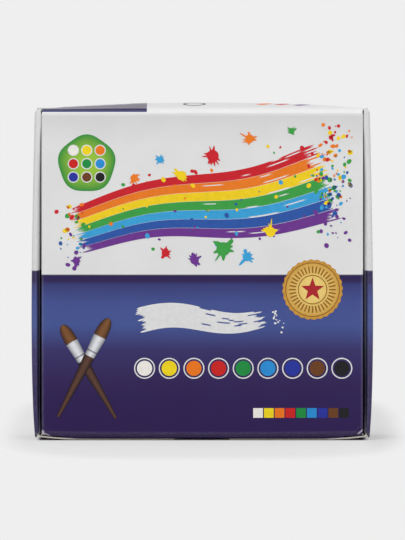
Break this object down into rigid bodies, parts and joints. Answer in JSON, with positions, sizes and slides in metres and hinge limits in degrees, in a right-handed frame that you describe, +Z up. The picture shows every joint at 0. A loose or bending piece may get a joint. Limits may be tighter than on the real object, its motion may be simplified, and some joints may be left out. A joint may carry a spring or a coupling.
{
  "type": "gouache paint box",
  "caption": "Folding carton on its front wall, with a hinged tuck-in lid and rolled side walls, holding rows of screw-cap gouache jars",
  "frame": {"origin": "middle of the bottom of the bounding box, on the surface that the front wall stands on", "axes": "+Z up, from the front wall to the back wall; -Y the way the lid faces; +X across the lid, to the right of someone who looks at it"},
  "size_m": [0.1298, 0.0406, 0.1284],
  "materials": {
    "printed_board": "offset print under gloss lacquer",
    "plain_board": "uncoated greyboard",
    "jar": "translucent moulded polypropylene",
    "cap": "white moulded polypropylene, ribbed",
    "liner": "soft foamed liner",
    "paint_white": "thick matt paint",
    "paint_lemon": "thick matt paint",
    "paint_orange": "thick matt paint",
    "paint_scarlet": "thick matt paint",
    "paint_green": "thick matt paint",
    "paint_sky_blue": "thick matt paint",
    "paint_ultramarine": "thick matt paint",
    "paint_brown": "thick matt paint",
    "paint_black": "thick matt paint"
  },
  "bodies": {
    "tray": {"base_panel": "plain_board", "front_wall": "printed_board", "back_wall": "printed_board", "left_outer_ply": "printed_board", "left_rolled_rim": "printed_board", "left_inner_ply": "plain_board", "left_front_ear": "plain_board", "left_back_ear": "plain_board", "right_outer_ply": "printed_board", "right_rolled_rim": "printed_board", "right_inner_ply": "plain_board", "right_front_ear": "plain_board", "right_back_ear": "plain_board", "jar_body_white": "jar", "paint_white": "paint_white", "jar_body_lemon": "jar", "paint_lemon": "paint_lemon", "jar_body_orange": "jar", "paint_orange": "paint_orange", "jar_body_scarlet": "jar", "paint_scarlet": "paint_scarlet", "jar_body_green": "jar", "paint_green": "paint_green", "jar_body_sky_blue": "jar", "paint_sky_blue": "paint_sky_blue", "jar_body_ultramarine": "jar", "paint_ultramarine": "paint_ultramarine", "jar_body_brown": "jar", "paint_brown": "paint_brown", "jar_body_black": "jar", "paint_black": "paint_black"},
    "lid": {"lid_panel": "printed_board", "left_lid_side_flap": "plain_board", "right_lid_side_flap": "plain_board"},
    "tuck_flap": {"lid_tuck_flap": "printed_board"},
    "liner_white": {"cap_liner_white": "liner"},
    "cap_white": {"jar_cap_white": "cap"},
    "liner_lemon": {"cap_liner_lemon": "liner"},
    "cap_lemon": {"jar_cap_lemon": "cap"},
    "liner_orange": {"cap_liner_orange": "liner"},
    "cap_orange": {"jar_cap_orange": "cap"},
    "liner_scarlet": {"cap_liner_scarlet": "liner"},
    "cap_scarlet": {"jar_cap_scarlet": "cap"},
    "liner_green": {"cap_liner_green": "liner"},
    "cap_green": {"jar_cap_green": "cap"},
    "liner_sky_blue": {"cap_liner_sky_blue": "liner"},
    "cap_sky_blue": {"jar_cap_sky_blue": "cap"},
    "liner_ultramarine": {"cap_liner_ultramarine": "liner"},
    "cap_ultramarine": {"jar_cap_ultramarine": "cap"},
    "liner_brown": {"cap_liner_brown": "liner"},
    "cap_brown": {"jar_cap_brown": "cap"},
    "liner_black": {"cap_liner_black": "liner"},
    "cap_black": {"jar_cap_black": "cap"}
  },
  "joints": [
    {"name": "lid_open", "type": "hinge", "parent": "tray", "child": "lid", "pos_m": [0, -0.02035, 0.12545], "axis": [-1, 0, 0], "range_deg": [0, 200]},
    {"name": "tuck_flap_spring", "type": "hinge", "parent": "lid", "child": "tuck_flap", "pos_m": [0, -0.01915, 0.0013], "axis": [-1, 0, 0], "range_deg": [0, 21]},
    {"name": "cap_rise_white", "type": "slide", "parent": "tray", "child": "liner_white", "axis": [0, -1, 0], "range_m": [0, 0.00134]},
    {"name": "cap_turn_white", "type": "hinge", "parent": "liner_white", "child": "cap_white", "pos_m": [-0.0406, 0.01985, 0.1033], "axis": [0, -1, 0], "range_deg": [0, 120]},
    {"name": "cap_rise_lemon", "type": "slide", "parent": "tray", "child": "liner_lemon", "axis": [0, -1, 0], "range_m": [0, 0.00134]},
    {"name": "cap_turn_lemon", "type": "hinge", "parent": "liner_lemon", "child": "cap_lemon", "pos_m": [0, 0.01985, 0.1033], "axis": [0, -1, 0], "range_deg": [0, 120]},
    {"name": "cap_rise_orange", "type": "slide", "parent": "tray", "child": "liner_orange", "axis": [0, -1, 0], "range_m": [0, 0.00134]},
    {"name": "cap_turn_orange", "type": "hinge", "parent": "liner_orange", "child": "cap_orange", "pos_m": [0.0406, 0.01985, 0.1033], "axis": [0, -1, 0], "range_deg": [0, 120]},
    {"name": "cap_rise_scarlet", "type": "slide", "parent": "tray", "child": "liner_scarlet", "axis": [0, -1, 0], "range_m": [0, 0.00134]},
    {"name": "cap_turn_scarlet", "type": "hinge", "parent": "liner_scarlet", "child": "cap_scarlet", "pos_m": [-0.0406, 0.01985, 0.0627], "axis": [0, -1, 0], "range_deg": [0, 120]},
    {"name": "cap_rise_green", "type": "slide", "parent": "tray", "child": "liner_green", "axis": [0, -1, 0], "range_m": [0, 0.00134]},
    {"name": "cap_turn_green", "type": "hinge", "parent": "liner_green", "child": "cap_green", "pos_m": [0, 0.01985, 0.0627], "axis": [0, -1, 0], "range_deg": [0, 120]},
    {"name": "cap_rise_sky_blue", "type": "slide", "parent": "tray", "child": "liner_sky_blue", "axis": [0, -1, 0], "range_m": [0, 0.00134]},
    {"name": "cap_turn_sky_blue", "type": "hinge", "parent": "liner_sky_blue", "child": "cap_sky_blue", "pos_m": [0.0406, 0.01985, 0.0627], "axis": [0, -1, 0], "range_deg": [0, 120]},
    {"name": "cap_rise_ultramarine", "type": "slide", "parent": "tray", "child": "liner_ultramarine", "axis": [0, -1, 0], "range_m": [0, 0.00134]},
    {"name": "cap_turn_ultramarine", "type": "hinge", "parent": "liner_ultramarine", "child": "cap_ultramarine", "pos_m": [-0.0406, 0.01985, 0.0221], "axis": [0, -1, 0], "range_deg": [0, 120]},
    {"name": "cap_rise_brown", "type": "slide", "parent": "tray", "child": "liner_brown", "axis": [0, -1, 0], "range_m": [0, 0.00134]},
    {"name": "cap_turn_brown", "type": "hinge", "parent": "liner_brown", "child": "cap_brown", "pos_m": [0, 0.01985, 0.0221], "axis": [0, -1, 0], "range_deg": [0, 120]},
    {"name": "cap_rise_black", "type": "slide", "parent": "tray", "child": "liner_black", "axis": [0, -1, 0], "range_m": [0, 0.00134]},
    {"name": "cap_turn_black", "type": "hinge", "parent": "liner_black", "child": "cap_black", "pos_m": [0.0406, 0.01985, 0.0221], "axis": [0, -1, 0], "range_deg": [0, 120]}
  ],
  "couplings": [
    {"joint": "tuck_flap_spring", "follows": "lid_open", "ratio": 0.1},
    {"joint": "cap_rise_white", "follows": "cap_turn_white", "m_per_rad": 0.00063662},
    {"joint": "cap_rise_lemon", "follows": "cap_turn_lemon", "m_per_rad": 0.00063662},
    {"joint": "cap_rise_orange", "follows": "cap_turn_orange", "m_per_rad": 0.00063662},
    {"joint": "cap_rise_scarlet", "follows": "cap_turn_scarlet", "m_per_rad": 0.00063662},
    {"joint": "cap_rise_green", "follows": "cap_turn_green", "m_per_rad": 0.00063662},
    {"joint": "cap_rise_sky_blue", "follows": "cap_turn_sky_blue", "m_per_rad": 0.00063662},
    {"joint": "cap_rise_ultramarine", "follows": "cap_turn_ultramarine", "m_per_rad": 0.00063662},
    {"joint": "cap_rise_brown", "follows": "cap_turn_brown", "m_per_rad": 0.00063662},
    {"joint": "cap_rise_black", "follows": "cap_turn_black", "m_per_rad": 0.00063662}
  ]
}
